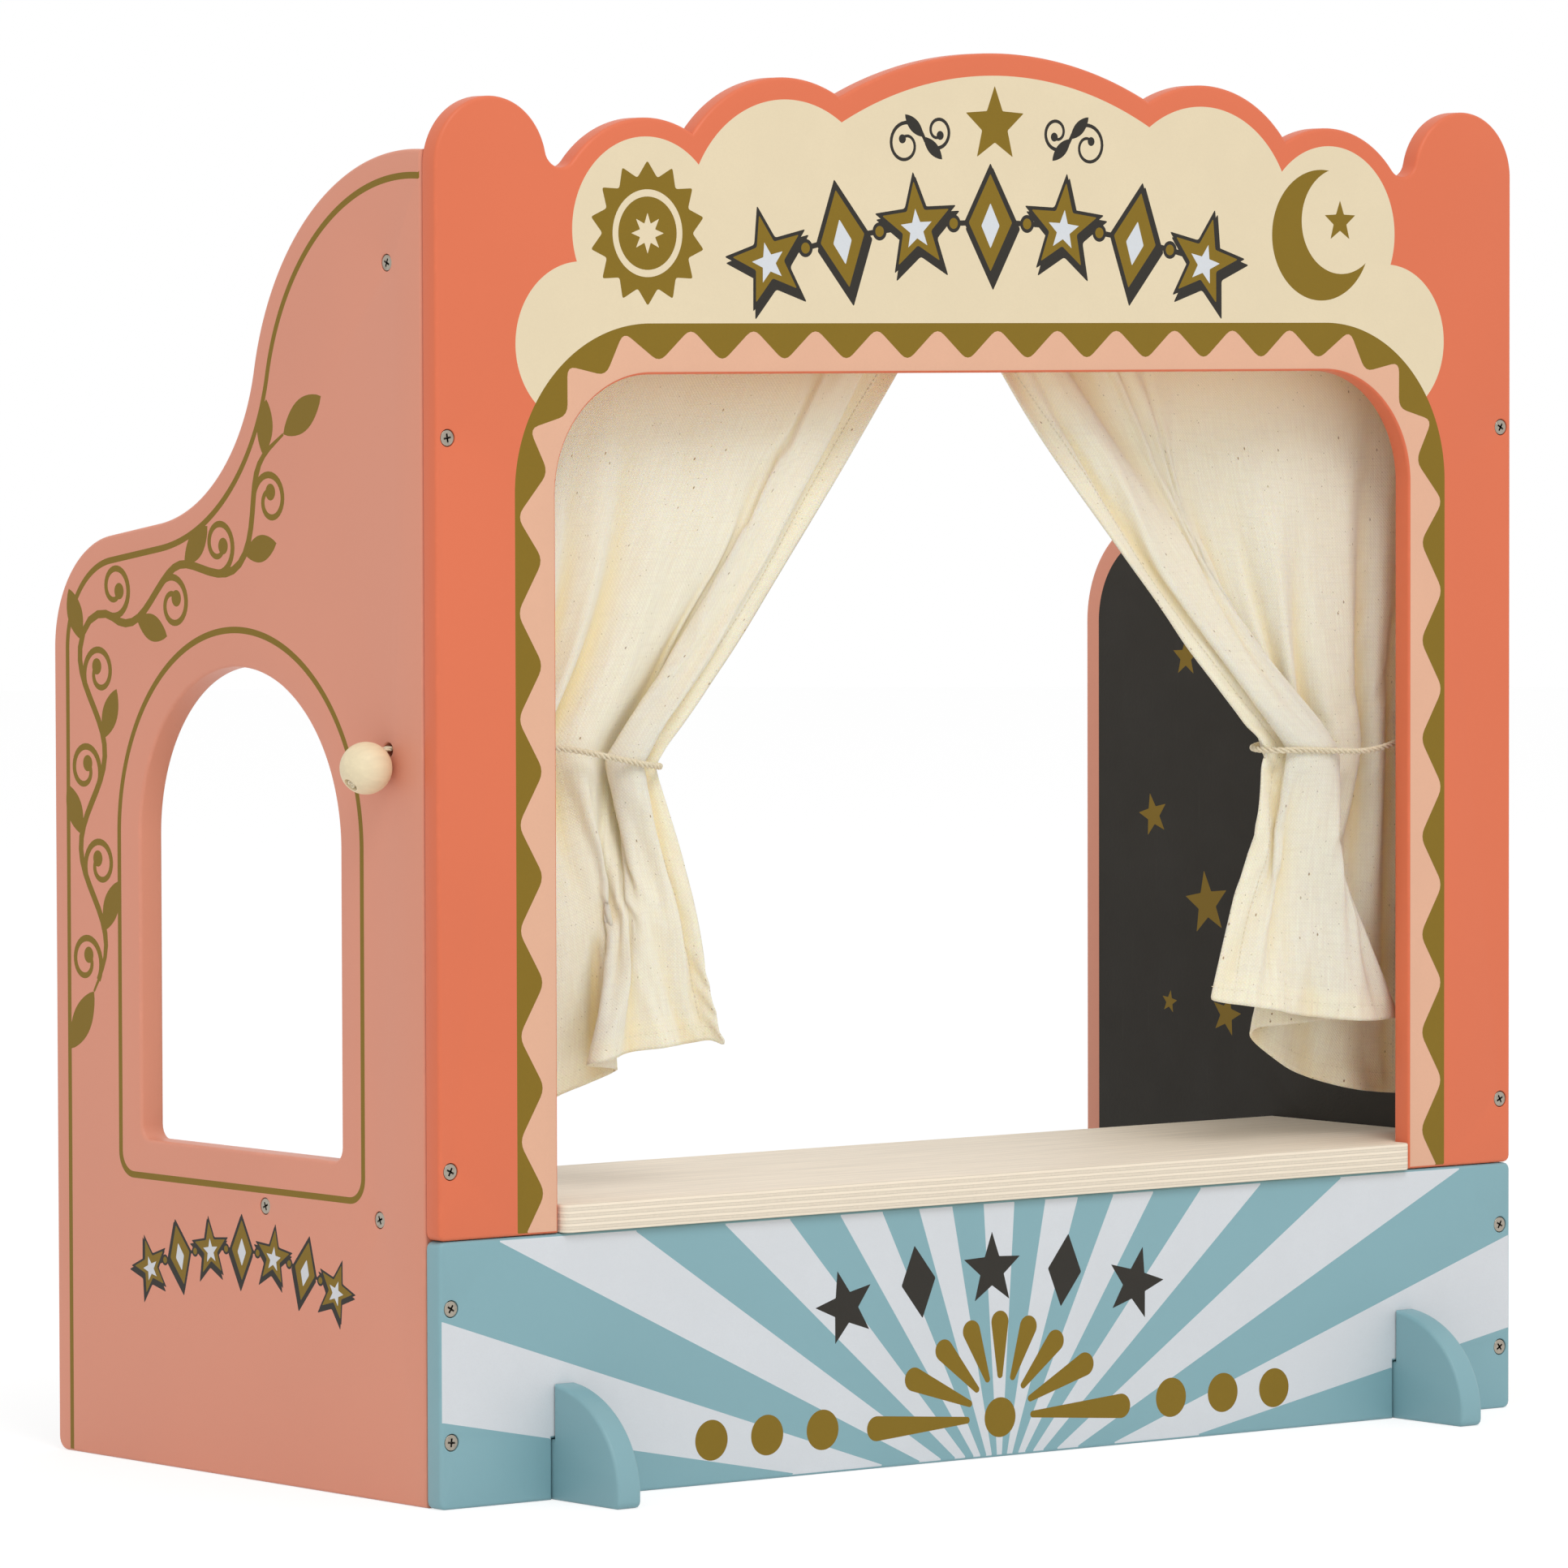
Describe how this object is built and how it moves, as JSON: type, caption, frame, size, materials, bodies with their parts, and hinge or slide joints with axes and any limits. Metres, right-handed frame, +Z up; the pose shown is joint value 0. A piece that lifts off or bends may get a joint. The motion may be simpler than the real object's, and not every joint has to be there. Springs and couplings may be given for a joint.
{
  "type": "puppet theater stand",
  "caption": "Child's puppet theater stand: scalloped painted arch over a base board, two shaped side boards, a plywood stage, cross-lapped feet and tied-back curtains.",
  "frame": {"origin": "on the floor, under the middle of the whole stand's box", "axes": "+X to the right along the stage as the audience sees it, +Y from the audience to the puppeteer, +Z up"},
  "size_m": [0.6446, 0.3306, 0.6085],
  "materials": {
    "coral_paint": "satin paint",
    "salmon_paint": "satin paint",
    "blue_paint": "satin paint",
    "birch_plywood": "clear matt",
    "dowel_wood": "bare",
    "calico": "plain weave",
    "cotton_cord": "twisted",
    "bead_wood": "varnished",
    "screw_steel": "nickel plated"
  },
  "bodies": {
    "root": {"proscenium_arch": "coral_paint", "base_panel": "blue_paint", "left_foot": "blue_paint", "right_foot": "blue_paint", "left_side_panel": "salmon_paint", "right_side_panel": "salmon_paint", "stage_shelf": "birch_plywood", "curtain_rod": "dowel_wood", "left_curtain": "calico", "right_curtain": "calico", "left_tie_cord": "cotton_cord", "right_tie_cord": "cotton_cord", "arch_screw_left_upper": "screw_steel", "arch_screw_left_lower": "screw_steel", "arch_screw_right_upper": "screw_steel", "arch_screw_right_lower": "screw_steel", "base_screw_left_upper": "screw_steel", "base_screw_left_lower": "screw_steel", "base_screw_right_upper": "screw_steel", "base_screw_right_lower": "screw_steel", "stage_screw_left_front": "screw_steel", "stage_screw_left_rear": "screw_steel", "stage_screw_right_front": "screw_steel", "stage_screw_right_rear": "screw_steel", "rod_screw_left": "screw_steel", "rod_screw_right": "screw_steel"},
    "left_bead": {"left_bead": "bead_wood"},
    "right_bead": {"right_bead": "bead_wood"}
  },
  "joints": [
    {"name": "left_bead_pull", "type": "slide", "parent": "root", "child": "left_bead", "axis": [-1, 0, 0], "range_m": [0, 0.025], "deforming": ["left_tie_cord", "left_curtain"]},
    {"name": "right_bead_pull", "type": "slide", "parent": "root", "child": "right_bead", "axis": [1, 0, 0], "range_m": [0, 0.025], "deforming": ["right_tie_cord", "right_curtain"]}
  ]
}
